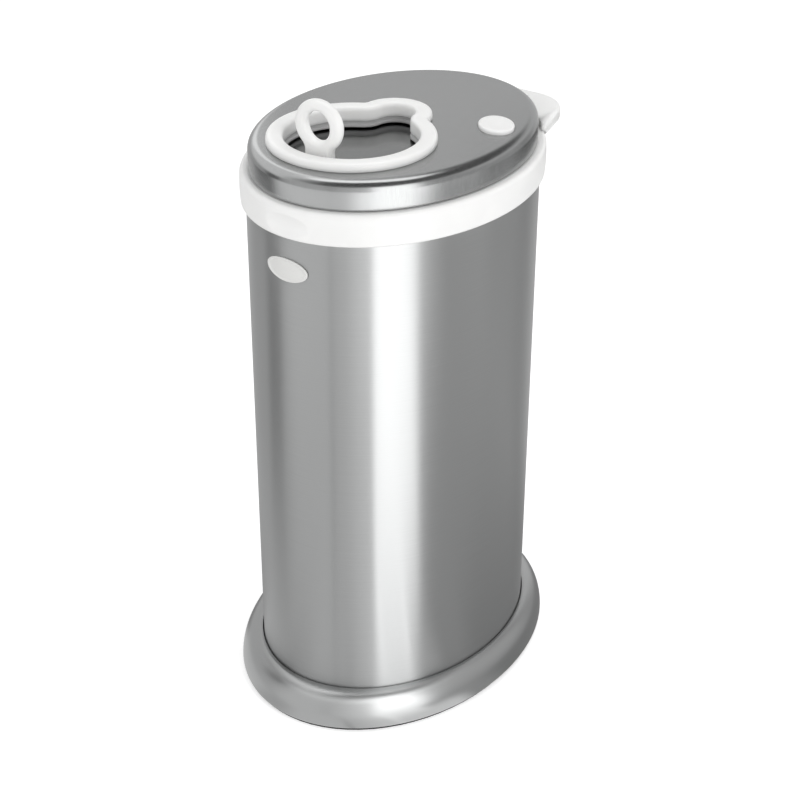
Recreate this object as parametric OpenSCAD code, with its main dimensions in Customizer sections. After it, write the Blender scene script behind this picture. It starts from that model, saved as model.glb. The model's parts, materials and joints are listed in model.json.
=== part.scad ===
// Nappy bin: an oval steel body with a flared foot, a white collar, a hinged steel lid with a
// sliding door under a round aperture, a pull loop on the door and a lock button beside it.
// The front is -Y, up is +Z, and the origin is on the floor at the centre of the body oval.

/* [Body] */
// Half length of the body oval, front to back
body_half_length = 151.8; // [145:0.2:165]
// Half width of the body oval
body_half_width = 116.6; // [114:0.2:130]
// Height of the top edge of the steel tube
tube_top = 517; // [400:1:600]
// Steel wall of the body tube
tube_wall = 1.2; // [0.8:0.1:2]

/* [Base] */
// Height of the flared foot where it meets the body
base_height = 36; // [28:1:50]
// How far the foot stands out at the front and back
base_flare_long = 25.5; // [15:0.5:32]
// How far the foot stands out at the sides
base_flare_side = 18.9; // [14:0.1:26]
// Height of the foot's widest line
base_wide_height = 8; // [7:0.5:12]
// Steel wall of the foot
base_wall = 1.2; // [0.8:0.1:2]
// Width of the lip turned in under the foot
base_lip = 16; // [12:1:20]
// Thickness of the plastic floor
floor_thickness = 3.5; // [2.5:0.5:5]
// Height of the floor's upstand inside the tube
floor_upstand = 18; // [12:1:40]
// Height of the rubber foot ring
foot_height = 2.6; // [2.4:0.2:5]
// Gap between the foot's upper edge and the tube
foot_gap = 1; // [0.4:0.1:1.6]
// Width of the rubber foot ring
foot_width = 4.2; // [3:0.2:4.4]
// Distance of the foot ring in from the foot's widest line
foot_inset = 4.6; // [4.4:0.2:5]

/* [Collar] */
// Height of the collar's outer face
collar_height = 28.6; // [24:0.2:34]
// Thickness of the collar over the tube's edge
collar_top_wall = 3.3; // [2.5:0.1:5]
// How far the collar stands out past the body
collar_proud = 5; // [4:0.5:7]
// Width of the collar's top shelf, inward from the body
collar_shelf = 9; // [8:0.5:12]
// Depth of the finger hollow at the front of the collar
hollow_depth = 2.6; // [1:0.2:2.6]
// Radius of the finger hollow's curve
hollow_radius = 25; // [20:1:40]
// Depth of the ledge that carries the bag rim, below the collar's top
ledge_depth = 10; // [8:0.5:12]
// Width of the ledge
ledge_width = 2.5; // [2:0.5:4]
// Width of the sloping bag rim
bag_rim_width = 15; // [10:1:20]
// Height that the bag rim drops to its inner edge
bag_rim_drop = 5.9; // [3:0.1:7]
// Wall of the bag rim
bag_rim_wall = 2.4; // [2:0.1:3]

/* [Badge] */
// Width of the oval badge
badge_width = 43; // [34:1:60]
// Height of the oval badge
badge_height = 21; // [18:1:36]
// Thickness of the badge
badge_thickness = 2; // [1.5:0.1:3]
// Height of the badge's centre below the collar
badge_drop = 30; // [22:0.5:60]

/* [Lid] */
// Gap between the collar and the lid's skirt
lid_gap = 0.9; // [0.6:0.1:1.5]
// Height of the lid from its skirt's edge to its top
lid_height = 24.8; // [24:0.2:30]
// How far the lid's skirt stands in from the body
lid_inset = 3; // [2:0.5:4]
// Radius of the lid's rounded edge
lid_round = 9; // [6:0.5:10]
// Steel wall of the lid
lid_wall = 1; // [0.8:0.1:1.5]
// Wall of the plastic liner under the lid
liner_wall = 2.4; // [2:0.1:3]

/* [Aperture ring] */
// Outer radius of the ring round the aperture
ring_radius = 72.7; // [72:0.1:75]
// Distance of the ring's outer edge behind the body's front end
ring_margin = 20.1; // [18:0.1:21]
// Sideways place of the aperture, the door and the badge, from the middle of the body
middle_shift = -4.2; // [-5:0.1:0]
// Outer radius of the small lobe behind the ring
lobe_radius = 32.6; // [31:0.1:34]
// Distance of the lobe's centre behind the body's centre
lobe_back = 4.6; // [4:0.1:7]
// Outer radius of the hollows where ring and lobe meet
neck_radius = 4.5; // [4:0.1:7]
// Width of the ring's flat band
ring_band = 15; // [15:0.5:17]
// Height of the ring above the lid
ring_proud = 7.6; // [5:0.1:8]
// Wall of the ring's collar that goes down through the lid
ring_wall = 3.5; // [2.5:0.1:4]
// Depth of the ring's wall below the lid's top
ring_depth = 5; // [4:0.5:5.5]
// Height of the rubber seal under the ring
seal_height = 6; // [5:0.5:6.4]

/* [Door] */
// How far the door reaches past the aperture at the sides and front
door_overlap = 3.5; // [3:0.5:5]
// How far the door's tongue reaches past the lobe
tongue_overlap = 4; // [3:0.5:6]
// Radius of the door's rear corners
door_corner = 16; // [12:1:20]
// Radius of the tongue's corners
tongue_corner = 8; // [6:1:12]
// Thickness of the steel door plate
door_plate_thickness = 1.2; // [0.8:0.1:1.6]
// Thickness of the plastic tray under the plate
door_tray_thickness = 3; // [2:0.5:3.5]
// Width of a runner beside the door
runner_width = 3.5; // [3:0.1:4]
// Height of a runner
runner_height = 2.5; // [2:0.1:2.8]
// Wall of the guide rails
rail_wall = 2.5; // [2:0.1:3]
// How far the rails reach in front of the ring's centre
rail_lead = 21; // [17:1:24]
// Length of rail left past a runner at each end of the travel
rail_stop = 3.5; // [2:0.5:5]
// Width of a rail's flange under the lid
rail_flange = 8.4; // [7.5:0.1:8.6]
// Height of the catch on the door
catch_height = 2.6; // [1.6:0.2:2.8]
// Length of the catch across the door
catch_length = 8; // [6:0.5:10]
// Width of the catch along the door
catch_width = 5; // [4:0.5:6]

/* [Pull loop] */
// Height of the loop's top above the lid
loop_rise = 49.2; // [46:0.2:60]
// Half width of the loop
loop_half_width = 23.5; // [20:0.5:26]
// Half height of the loop
loop_half_height = 22.5; // [20:0.5:24]
// Half width of the finger hole
hole_half_width = 12; // [10:0.5:14]
// Half height of the finger hole
hole_half_height = 12.8; // [11:0.1:15]
// Thickness of the loop
loop_thickness = 10; // [8:0.5:11]
// Width of the loop's neck
loop_neck = 26; // [22:0.5:27]
// Distance of the loop's middle behind the aperture's front edge
loop_margin = 13.7; // [11:0.1:14.5]
// Distance of each loop screw from the middle
loop_screw_x = 8; // [5:0.5:9]

/* [Lock button] */
// Distance of the button's centre in from the body's side
button_inset = 37.6; // [36.6:0.1:39]
// Distance of the button behind the body's centre
button_y = 37.4; // [34:0.2:40]
// Half length of the button
button_half_length = 19.8; // [15:0.1:20]
// Half width of the button
button_half_width = 15.4; // [12:0.1:16]
// Turn of the button's long axis, which lies square to the line to the ring's centre
button_turn = -44; // [-60:1:-30]
// Height of the button above the lid
button_proud = 3.6; // [3.6:0.2:6]
// Travel of the button
button_travel = 3; // [2:0.1:3]
// Radius of the button's stem
stem_radius = 4.5; // [3.5:0.5:5]
// Thickness of the lock pawl under the button
pawl_thickness = 1.6; // [1.2:0.1:1.6]
// Half width of the lock pawl
pawl_half_width = 5; // [4:0.5:5.5]

/* [Hinge] */
// Distance of the hinge pin behind the body oval's rear end
hinge_back = 14; // [13:0.5:16]
// Radius of the hinge pin
pin_radius = 2.5; // [2:0.1:3]
// Radius of the lid's hinge knuckle
knuckle_radius = 6; // [5.5:0.1:6.5]
// Half width of the lid's hinge knuckle
knuckle_half_width = 17.5; // [12:0.5:19]
// Distance of the housing's corner centres from the middle
housing_half_width = 40; // [36:1:48]
// Angle round the oval at which the housing's sides start
housing_spread = 45; // [38:1:47]
// Corner radius of the housing
housing_corner = 38; // [30:1:40]
// Distance of the housing's rear edge behind the body oval
housing_back = 25.5; // [25:0.5:32]
// Height of the housing above the collar
housing_rise = 7.2; // [5.7:0.1:8]
// Thickness of the housing's rear edge
housing_edge = 11.6; // [9:0.1:13]
// Distance of each housing screw from the middle
housing_screw_x = 24; // [22:1:30]

/* [Fasteners] */
// Radius of a screw's shank
screw_radius = 1.5; // [1.2:0.1:2]
// Radius of a screw's head
screw_head_radius = 3; // [2.5:0.1:3.2]
// Height of a screw's head
screw_head_height = 2; // [1.5:0.1:2]

/* [Clearances] */
// Clearance between fixed shells
shell_gap = 0.2; // [0.15:0.05:0.3]
// Running clearance round sliding pieces
slide_gap = 0.5; // [0.4:0.1:0.6]
// Clearance between the seal and the door
seal_gap = 1.5; // [0.5:0.1:2]
// Clearance between the pawl and the catch
pawl_gap = 2; // [1.5:0.1:3]
// Clearance between a rail's end and the lid's edge
rail_gap = 0.8; // [0.5:0.1:2]
// Running clearance of the pin in its knuckle
pin_gap = 0.06; // [0.03:0.01:0.1]

/* [Hidden] */

steel = "#a9abad";
white_plastic = "#f1f1f0";
grey_rubber = "#bfc0c0";
black_plastic = "#3a3b3c";

// Points round an oval, round an arc of the ring, and round a small radius
oval_points = 72;
round_points = 6;
cut = 1;

collar_top = tube_top + collar_top_wall;
collar_bottom = collar_top - collar_height;
skirt_bottom = collar_top + lid_gap;
lid_top = skirt_bottom + lid_height;
lid_under = lid_top - lid_wall;
round_centre = lid_top - lid_round;
liner_top = lid_under - shell_gap;
liner_under = liner_top - liner_wall;
liner_bottom = skirt_bottom + lid_gap;
ring_bottom = lid_top - ring_depth;
seal_bottom = ring_bottom - seal_height;
plate_top = seal_bottom - seal_gap;
plate_bottom = plate_top - door_plate_thickness;
tray_bottom = plate_bottom - door_tray_thickness;
runner_bottom = tray_bottom - slide_gap;
runner_top = runner_bottom + runner_height;
hole_radius = ring_radius - ring_band;
ring_forward = body_half_length - ring_margin - ring_radius;
door_half_width = hole_radius + door_overlap;
door_back = hole_radius - ring_forward;
tongue_half_width = lobe_radius - ring_band + tongue_overlap;
tongue_back = lobe_back + tongue_half_width;
loop_y = loop_margin - ring_forward - hole_radius;
door_travel = lobe_back - loop_y;
loop_top = lid_top + loop_rise;
loop_centre = loop_top - loop_half_height;
button_top = lid_top + button_proud;
button_x = body_half_width - button_inset;
button_depth = norm([button_half_length * sin(button_turn), button_half_width * cos(button_turn)]);
cup_floor = liner_under - 1;
pawl_top = cup_floor - 2.4 - slide_gap;
pawl_bottom = pawl_top - pawl_thickness;
hinge_y = body_half_length + hinge_back;
hinge_z = collar_top - 0.3;
housing_top = collar_top + housing_rise;
floor_z = foot_height + base_wall;
tube_foot = floor_z + floor_thickness;

// Points of the body oval moved out by d along its normals
function oval(d) = [for (i = [0 : oval_points - 1])
    let (t = 360 * i / oval_points, x = body_half_width * cos(t), y = body_half_length * sin(t),
         nx = body_half_length * cos(t), ny = body_half_width * sin(t), m = norm([nx, ny]))
    [x + d * nx / m, y + d * ny / m]];

// Points of the foot's oval: flare 0 is the body and 1 the widest line, drawn in by inset
function foot_oval(flare, inset) = [for (i = [0 : oval_points - 1])
    let (t = 360 * i / oval_points)
    [(body_half_width + flare * base_flare_side - inset) * cos(t),
     (body_half_length + flare * base_flare_long - inset) * sin(t)]];

// Points of a flat ellipse about a centre
function ellipse(half_x, half_y, at, count) = [for (i = [0 : count - 1])
    let (t = 360 * i / count) [at[0] + half_x * cos(t), at[1] + half_y * sin(t)]];

function arc(centre, radius, from, to, steps) = [for (i = [0 : steps])
    let (t = from + (to - from) * i / steps) centre + radius * [cos(t), sin(t)]];

// The hollow between ring and lobe is an arc that touches both circles
neck_reach = ring_radius + neck_radius;
neck_side = lobe_radius + neck_radius;
lobe_distance = ring_forward + lobe_back;
neck_along = (neck_reach * neck_reach - neck_side * neck_side + lobe_distance * lobe_distance)
    / (2 * lobe_distance);
neck_x = sqrt(neck_reach * neck_reach - neck_along * neck_along);
neck_y = neck_along - ring_forward;
ring_angle = atan2(neck_along, neck_x);
lobe_angle = atan2(neck_y - lobe_back, neck_x);

// Outline of the ring with its lobe, drawn in by inset, anticlockwise from the left neck
function ring_outline(inset) = concat(
    arc([middle_shift, -ring_forward], ring_radius - inset, 180 - ring_angle, 360 + ring_angle, 44),
    arc([middle_shift + neck_x, neck_y], neck_radius + inset, 179 + ring_angle, 181 + lobe_angle, 4),
    arc([middle_shift, lobe_back], lobe_radius - inset, lobe_angle, 180 - lobe_angle, 18),
    arc([middle_shift - neck_x, neck_y], neck_radius + inset, -lobe_angle - 1, -ring_angle + 1, 4));

function flat_ring(outline, z) = [for (p = outline) [p[0], p[1], z]];

// Skin of a stack of rings with flat ends, each ring having the same number of points
module stack(rings) {
    count = len(rings[0]);
    last = len(rings) - 1;
    polyhedron(
        points = [for (r = rings) each r],
        faces = concat(
            [[for (i = [count - 1 : -1 : 0]) last * count + i]],
            [[for (i = [0 : count - 1]) i]],
            [for (k = [0 : last - 1], i = [0 : count - 1])
                let (j = (i + 1) % count) each [
                    [k * count + i, (k + 1) * count + i, (k + 1) * count + j],
                    [k * count + i, (k + 1) * count + j, k * count + j]]]));
}

// Skin of a closed loop of rings, such as a section carried round an oval
module hoop(rings) {
    count = len(rings[0]);
    total = len(rings);
    polyhedron(
        points = [for (r = rings) each r],
        faces = [for (k = [0 : total - 1], i = [0 : count - 1])
            let (j = (i + 1) % count, n = (k + 1) % total) each [
                [k * count + i, n * count + i, n * count + j],
                [k * count + i, n * count + j, k * count + j]]]);
}

// A section of [offset, height] points carried round the body oval
module oval_hoop(section) {
    hoop([for (p = section) flat_ring(oval(p[0]), p[1])]);
}

// A section of [inset, height] points carried round the aperture
module ring_hoop(section) {
    hoop([for (p = section) flat_ring(ring_outline(p[0]), p[1])]);
}

module oval_prism(d, from, to) {
    translate([0, 0, from]) linear_extrude(to - from) polygon(oval(d));
}

module ring_prism(inset, from, to) {
    translate([0, 0, from]) linear_extrude(to - from) polygon(ring_outline(inset));
}

// A screw with its head down at the given place
module screw(at, length) {
    translate(at) {
        cylinder(r = screw_radius, h = length, $fn = 24);
        translate([0, 0, -screw_head_height])
            cylinder(r = screw_head_radius, h = screw_head_height, $fn = 32);
    }
}

// Body

// The straight oval tube, open at both ends
module body_shell() {
    color(steel) difference() {
        oval_prism(0, tube_foot, tube_top);
        oval_prism(-tube_wall, tube_foot - cut, tube_top + cut);
        badge_pegs(badge_peg_radius + 0.1);
        housing_screw_places() cylinder(r = screw_radius + 0.3, h = 30, $fn = 24);
    }
}

// Rings of the foot's face from its lip up: under the widest line, then a quarter oval
foot_under = 60;
function foot_section(inset) = concat(
    [for (i = [0 : 3]) let (a = foot_under * (1 - i / 4))
        flat_ring(foot_oval(1, inset + (base_wide_height - foot_height) * (1 - cos(a)) * 1.6),
            base_wide_height - (base_wide_height - foot_height - inset) * sin(a) / sin(foot_under))],
    [for (i = [0 : foot_steps]) let (a = 90 * i / foot_steps)
        flat_ring(foot_oval(cos(a), inset),
            base_wide_height + (base_height - base_wide_height - inset) * sin(a))]);

// The flared steel foot: a thin shell with a lip turned in underneath
foot_steps = 12;
module base_ring() {
    color(steel) difference() {
        stack(foot_section(0));
        stack(foot_section(base_wall));
        translate([0, 0, foot_height - cut]) linear_extrude(base_wall + 2 * cut)
            polygon(foot_oval(1, base_lip));
        oval_prism(foot_gap, foot_height - cut, base_height + cut);
        base_screw_places() cylinder(r = screw_radius + 0.2, h = 20, center = true, $fn = 24);
    }
}

// The plastic floor: a tray that closes the bottom and stands up inside the tube
module base_floor() {
    color(black_plastic) difference() {
        union() {
            translate([0, 0, floor_z]) linear_extrude(floor_thickness)
                polygon(foot_oval(1, base_lip - 8));
            oval_prism(-tube_wall - shell_gap, floor_z, floor_z + floor_upstand);
        }
        oval_prism(-tube_wall - shell_gap - 2.5, floor_z + floor_thickness, tube_top);
        base_screw_places() cylinder(r = screw_radius, h = 3 * floor_z, $fn = 24);
    }
}

// The rubber ring that the bin stands on, stuck under the foot's lip
module foot_ring() {
    color(black_plastic) difference() {
        linear_extrude(foot_height) polygon(foot_oval(1, foot_inset));
        translate([0, 0, -cut]) linear_extrude(foot_height + 2 * cut)
            polygon(foot_oval(1, foot_inset + foot_width));
    }
}

// Four places on the foot's lip, inside the rubber ring
module base_screw_places() {
    inset = foot_inset + foot_width + screw_head_radius + 0.6;
    for (side = [-1, 1], end = [-1, 1])
        translate([side * (body_half_width + base_flare_side - inset) * cos(45),
                   end * (body_half_length + base_flare_long - inset) * sin(45), 0]) children();
}

module base_screws() {
    color(steel) base_screw_places()
        screw([0, 0, foot_height], base_wall + floor_thickness - 0.5);
}

// Collar

// The white collar that grips the tube's edge and carries the bag rim
collar_inner = tube_wall + 2 * shell_gap;
ledge_top = collar_top - ledge_depth;
module collar() {
    color(white_plastic) difference() {
        union() {
            oval_hoop([
                [shell_gap, tube_top], [shell_gap, collar_bottom],
                [collar_proud - 1.8, collar_bottom], [collar_proud - 0.6, collar_bottom + 1.6],
                [collar_proud, collar_bottom + 7], [collar_proud, collar_top - 10],
                [collar_proud - 0.3, collar_top - 5], [collar_proud - 1.2, collar_top - 1.6],
                [collar_proud - 3, collar_top], [-collar_shelf, collar_top],
                [-collar_shelf, ledge_top], [-collar_shelf - ledge_width, ledge_top],
                [-collar_shelf - ledge_width, ledge_top - 2], [2 - collar_shelf, ledge_top - 2],
                [2 - collar_shelf, tube_top], [-collar_inner - 2, tube_top],
                [-collar_inner - 2, tube_top - 17], [-collar_inner, tube_top - 17],
                [-collar_inner, tube_top]]);
            intersection() {
                housing_screw_places() translate([-4.5, -4.5, screw_pad])
                    cube([9, 9, 6]);
                oval_prism(-collar_inner, tube_top - 20, tube_top);
            }
        }
        translate([0, -body_half_length - collar_proud + hollow_depth - hollow_radius,
                   collar_bottom + collar_height * 0.4])
            rotate([0, 90, 0]) cylinder(r = hollow_radius, h = 120, center = true, $fn = 64);
        housing_screw_places() cylinder(r = screw_radius + 0.3, h = 30, $fn = 24);
    }
}

// The sloping inner rim that holds a bag's edge; it lifts out of the collar by hand
module bag_rim() {
    outer = collar_shelf + shell_gap;
    high = collar_top - 0.6;
    color(white_plastic) oval_hoop([
        [-outer, ledge_top], [-outer, high], [-outer - bag_rim_wall, high],
        [-outer - bag_rim_width, high - bag_rim_drop],
        [-outer - bag_rim_width, high - bag_rim_drop - bag_rim_wall],
        [-outer - bag_rim_wall, high - 1.4 * bag_rim_wall], [-outer - bag_rim_wall, ledge_top]]);
}

// Badge

badge_z = collar_bottom - badge_drop;
badge_peg_radius = 1.4;
badge_peg_x = 12;
module badge_pegs(radius) {
    for (side = [-1, 1])
        translate([middle_shift + side * badge_peg_x, -body_half_length + 6, badge_z])
            rotate([90, 0, 0]) cylinder(r = radius, h = 8, $fn = 24);
}

// The bare oval badge, curved with the body and held by two pegs through the steel
module badge() {
    color(white_plastic) union() {
        intersection() {
            difference() {
                oval_prism(badge_thickness, badge_z - badge_height, badge_z + badge_height);
                oval_prism(0, badge_z - badge_height - cut, badge_z + badge_height + cut);
            }
            translate([middle_shift, -body_half_length + 20, badge_z]) rotate([90, 0, 0])
                linear_extrude(40) polygon(ellipse(badge_width / 2, badge_height / 2, [0, 0], 64));
        }
        difference() {
            badge_pegs(badge_peg_radius);
            translate([0, -body_half_length - 10, badge_z]) cube([60, 20, 20], center = true);
        }
    }
}

// Hinge

housing_screw_z = collar_top - 15.4;
screw_pad = 7.8;
// The screws run back from flat pads on the collar's inner skirt
module housing_screw_places() {
    for (side = [-1, 1])
        translate([side * housing_screw_x, body_half_length - 16, housing_screw_z])
            rotate([-90, 0, 0]) children();
}

// Plan of the housing: straight rear edge, round corners, sides that run on to the collar
housing_root_x = (body_half_width + collar_proud - 1) * cos(housing_spread);
housing_root_y = (body_half_length + collar_proud - 1) * sin(housing_spread);
function housing_plan(inset) = concat(
    [[housing_root_x - inset, housing_root_y]],
    arc([housing_half_width, body_half_length + housing_back - housing_corner],
        housing_corner - inset, 16, 90, 8),
    arc([-housing_half_width, body_half_length + housing_back - housing_corner],
        housing_corner - inset, 90, 164, 8),
    [[-housing_root_x + inset, housing_root_y]]);

// The wide rear housing that carries the pin, with a slot for the lid's knuckle
housing_round = 2.5;
module hinge_housing() {
    slot_half = knuckle_half_width + slide_gap + 0.3;
    slot_radius = knuckle_radius + 1;
    floor_cut = collar_bottom + 4;
    color(white_plastic) difference() {
        stack(concat(
            [for (p = [[26, floor_cut], [6, housing_top - housing_edge - 4],
                       [0.6, housing_top - housing_edge], [0, housing_top - housing_edge + 2]])
                flat_ring(housing_plan(p[0]), p[1])],
            [for (i = [0 : 4]) let (a = 90 * i / 4)
                flat_ring(housing_plan(housing_round * (1 - cos(a))),
                    housing_top - housing_round * (1 - sin(a)))]));
        oval_prism(collar_proud + shell_gap, floor_cut - cut, collar_top);
        oval_prism(1.2, collar_top, housing_top + cut);
        translate([-slot_half, body_half_length - 10, hinge_z - slot_radius])
            cube([2 * slot_half, hinge_back + 10 + slot_radius, 2 * slot_radius + 10]);
        translate([-slot_half - 14, hinge_y, hinge_z]) rotate([0, 90, 0])
            cylinder(r = pin_radius, h = 2 * slot_half + 28, $fn = 48);
        housing_screw_places() cylinder(r = screw_radius, h = screw_pad + 15.4, $fn = 24);
    }
}

// The steel pin: pressed into the housing, running in the lid's knuckle
module hinge_pin() {
    reach = knuckle_half_width + slide_gap + 0.3 + 13.5;
    color(steel) translate([-reach, hinge_y, hinge_z]) rotate([0, 90, 0])
        cylinder(r = pin_radius, h = 2 * reach, $fn = 48);
}

// Two screws from inside the collar into the housing
module housing_screws() {
    color(steel) housing_screw_places() screw([0, 0, screw_pad], 15);
}

// Lid

// Rings of the lid's outer face for a wall that lies depth inside it
function lid_rings(depth, bottom) = concat(
    [flat_ring(oval(-lid_inset - depth), bottom)],
    [for (i = [0 : round_points]) let (a = 90 * i / round_points)
        flat_ring(oval(-lid_inset - lid_round + (lid_round - depth) * cos(a)),
            round_centre + (lid_round - depth) * sin(a))]);

// Points of the button's oval grown by an amount, turned about its centre
function button_oval(grow) = [
    for (p = ellipse(button_half_length + grow, button_half_width + grow, [0, 0], 40))
    [button_x + p[0] * cos(button_turn) - p[1] * sin(button_turn),
     button_y + p[0] * sin(button_turn) + p[1] * cos(button_turn)]];

module button_prism(grow, from, to) {
    translate([0, 0, from]) linear_extrude(to - from) polygon(button_oval(grow));
}

notch_half = knuckle_half_width + 1;

// The steel lid: flat top, rounded edge and a straight skirt, with three cut-outs
module lid_shell() {
    color(steel) difference() {
        stack(lid_rings(0, skirt_bottom));
        stack(lid_rings(lid_wall, skirt_bottom - cut));
        ring_prism(ring_band - ring_wall - shell_gap, lid_under - cut, lid_top + cut);
        button_prism(slide_gap, lid_under - cut, lid_top + cut);
        ring_screw_places() translate([0, 0, lid_under - cut])
            cylinder(r = screw_radius + 0.2, h = lid_wall + 2 * cut, $fn = 24);
        translate([-notch_half, body_half_length - 20, skirt_bottom - cut])
            cube([2 * notch_half, 40, housing_top - skirt_bottom + cut + 0.6]);
    }
}

// The plastic liner: it stiffens the lid and carries the door's rails, the button and the hinge
arm_bottom = liner_bottom;
module lid_liner() {
    depth = lid_wall + shell_gap;
    color(white_plastic) difference() {
        union() {
            difference() {
                stack(lid_rings(depth, liner_bottom));
                stack(lid_rings(depth + liner_wall, liner_bottom - cut));
            }
            button_prism(slide_gap + 2, cup_floor - 2.4, liner_under + 0.5);
            translate([button_x, button_y, cup_floor - 2.4])
                cylinder(r = stem_radius + 2.2, h = 4.4, $fn = 48);
            hinge_arm();
        }
        ring_prism(ring_band - ring_wall - shell_gap, liner_under - cut, lid_top);
        difference() {
            button_prism(slide_gap, cup_floor, lid_top);
            translate([button_x, button_y, cup_floor - cut])
                cylinder(r = stem_radius + 2.2, h = 3, $fn = 48);
        }
        translate([button_x, button_y, cup_floor - 10])
            cylinder(r = stem_radius + 0.3, h = 20, $fn = 48);
        ring_screw_places() translate([0, 0, liner_under - cut])
            cylinder(r = screw_radius + 0.2, h = liner_wall + 2 * cut, $fn = 24);
        rail_screw_places() translate([0, 0, liner_under - cut])
            cylinder(r = screw_radius, h = cut + 1.8, $fn = 24);
        translate([-knuckle_half_width - cut, hinge_y, hinge_z]) rotate([0, 90, 0])
            cylinder(r = pin_radius + pin_gap, h = 2 * (knuckle_half_width + cut), $fn = 48);
    }
}

// The arm that leaves the lid through the skirt's notch and ends in the knuckle
module hinge_arm() {
    top = hinge_z + knuckle_radius;
    translate([-knuckle_half_width, body_half_length - 15, arm_bottom])
        cube([2 * knuckle_half_width, hinge_back + 15, top - arm_bottom]);
    translate([-knuckle_half_width, hinge_y, hinge_z]) rotate([0, 90, 0])
        cylinder(r = knuckle_radius, h = 2 * knuckle_half_width, $fn = 64);
}

// The rubber gasket under the liner's edge
module lid_seal() {
    inner = lid_inset + lid_wall + shell_gap + liner_wall + 1.4;
    outer = lid_inset + lid_wall + shell_gap;
    color(grey_rubber) difference() {
        oval_prism(-outer, collar_top + shell_gap, liner_bottom);
        oval_prism(-inner, collar_top, liner_bottom + cut);
    }
}

// Aperture

// The white ring: a fat rounded flange on the lid and a wall that goes down through it
module aperture_ring() {
    wall = ring_band - ring_wall;
    high = lid_top + ring_proud;
    color(white_plastic) difference() {
        ring_hoop([
            [0.4, lid_top], [0, lid_top + 0.8], [0.9, lid_top + 0.6 * ring_proud],
            [3.2, high - 0.7], [6, high - 0.1], [ring_band - 7, high], [ring_band - 4, high - 0.5],
            [ring_band - 1.6, high - 1.7], [ring_band - 0.3, high - 3.6], [ring_band, lid_top - 1],
            [ring_band, ring_bottom], [wall, ring_bottom], [wall, lid_top]]);
        ring_screw_places() cylinder(r = screw_radius, h = lid_top + ring_proud - 1.5, $fn = 24);
    }
}

// Places of the screws under the ring's flange
ring_screw_inset = 7.5;
module ring_screw_places() {
    for (t = [-150, -110, -70, -30, 45, 135])
        translate([middle_shift + (ring_radius - ring_screw_inset) * cos(t),
                   (ring_radius - ring_screw_inset) * sin(t) - ring_forward, 0]) children();
}

module ring_screws() {
    color(steel) ring_screw_places()
        screw([0, 0, liner_under], lid_top - liner_under + ring_proud - 2);
}

// The soft seal under the ring's wall, which wipes the door
module aperture_seal() {
    wall = ring_band - ring_wall;
    color(grey_rubber) ring_hoop([
        [wall, ring_bottom], [ring_band - 0.8, ring_bottom], [ring_band - 0.8, seal_bottom + 1.4],
        [ring_band, seal_bottom + 0.9], [ring_band, seal_bottom], [wall, seal_bottom]]);
}

// Door

// Plan of the door: a round front, straight sides and a tongue behind, drawn in by inset
module door_plan(inset) {
    half = door_half_width - inset;
    translate([middle_shift, 0]) difference() {
        union() {
            translate([0, -ring_forward]) circle(r = half, $fn = 96);
            translate([-half, -ring_forward]) square([2 * half, hole_radius - door_corner]);
            translate([-half + door_corner - inset, -ring_forward])
                square([2 * (half - door_corner + inset), hole_radius - inset]);
            for (side = [-1, 1])
                translate([side * (door_half_width - door_corner), door_back - door_corner])
                    circle(r = door_corner - inset, $fn = 48);
            translate([inset - tongue_half_width, -ring_forward])
                square([2 * (tongue_half_width - inset), ring_forward + tongue_back - tongue_corner]);
            for (side = [-1, 1])
                translate([side * (tongue_half_width - tongue_corner), tongue_back - tongue_corner])
                    circle(r = tongue_corner - inset, $fn = 48);
            translate([tongue_corner - tongue_half_width, door_back - door_corner])
                square([2 * (tongue_half_width - tongue_corner),
                        tongue_back - inset - door_back + door_corner]);
        }
        for (side = [-1, 1])
            translate([side * loop_screw_x, loop_y])
                circle(r = screw_radius + 0.2, $fn = 24);
    }
}

// A rail ends short of the lid's rounded edge, and a runner stays in it over the door's travel
rail_outer = door_half_width + runner_width + slide_gap + rail_wall - 0.2 + rail_flange;
lid_flat = lid_inset + lid_round;
rail_room = (body_half_length - lid_flat)
    * sqrt(1 - pow((rail_outer + abs(middle_shift)) / (body_half_width - lid_flat), 2)) - rail_gap;
rail_back = rail_room;
rail_front = max(-rail_room, -ring_forward - rail_lead);
runner_front = rail_front + rail_stop;
runner_back = rail_back - door_travel - rail_stop;

// The steel plate that shows through the aperture
module door_plate() {
    color(steel) translate([0, 0, plate_bottom])
        linear_extrude(door_plate_thickness) door_plan(0);
}

// The plastic tray under the plate, with a runner on each side
module door_tray() {
    color(white_plastic) union() {
        translate([0, 0, tray_bottom]) linear_extrude(door_tray_thickness) door_plan(0.5);
        for (side = [-1, 1])
            translate([middle_shift + (side > 0 ? door_half_width - 3 : -door_half_width - runner_width),
                       runner_front, runner_bottom])
                cube([runner_width + 3, runner_back - runner_front, runner_height]);
    }
}

// The small block on the door that the lock pawl stops
catch_x = middle_shift + door_half_width - catch_length / 2 - 6.5;
catch_y = door_back - catch_width / 2 - 4;
pawl_end = [catch_x, catch_y + catch_width / 2 + pawl_gap + pawl_half_width];
module lock_catch() {
    color(steel) translate([catch_x - catch_length / 2, catch_y - catch_width / 2, plate_top])
        cube([catch_length, catch_width, catch_height]);
}

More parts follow.
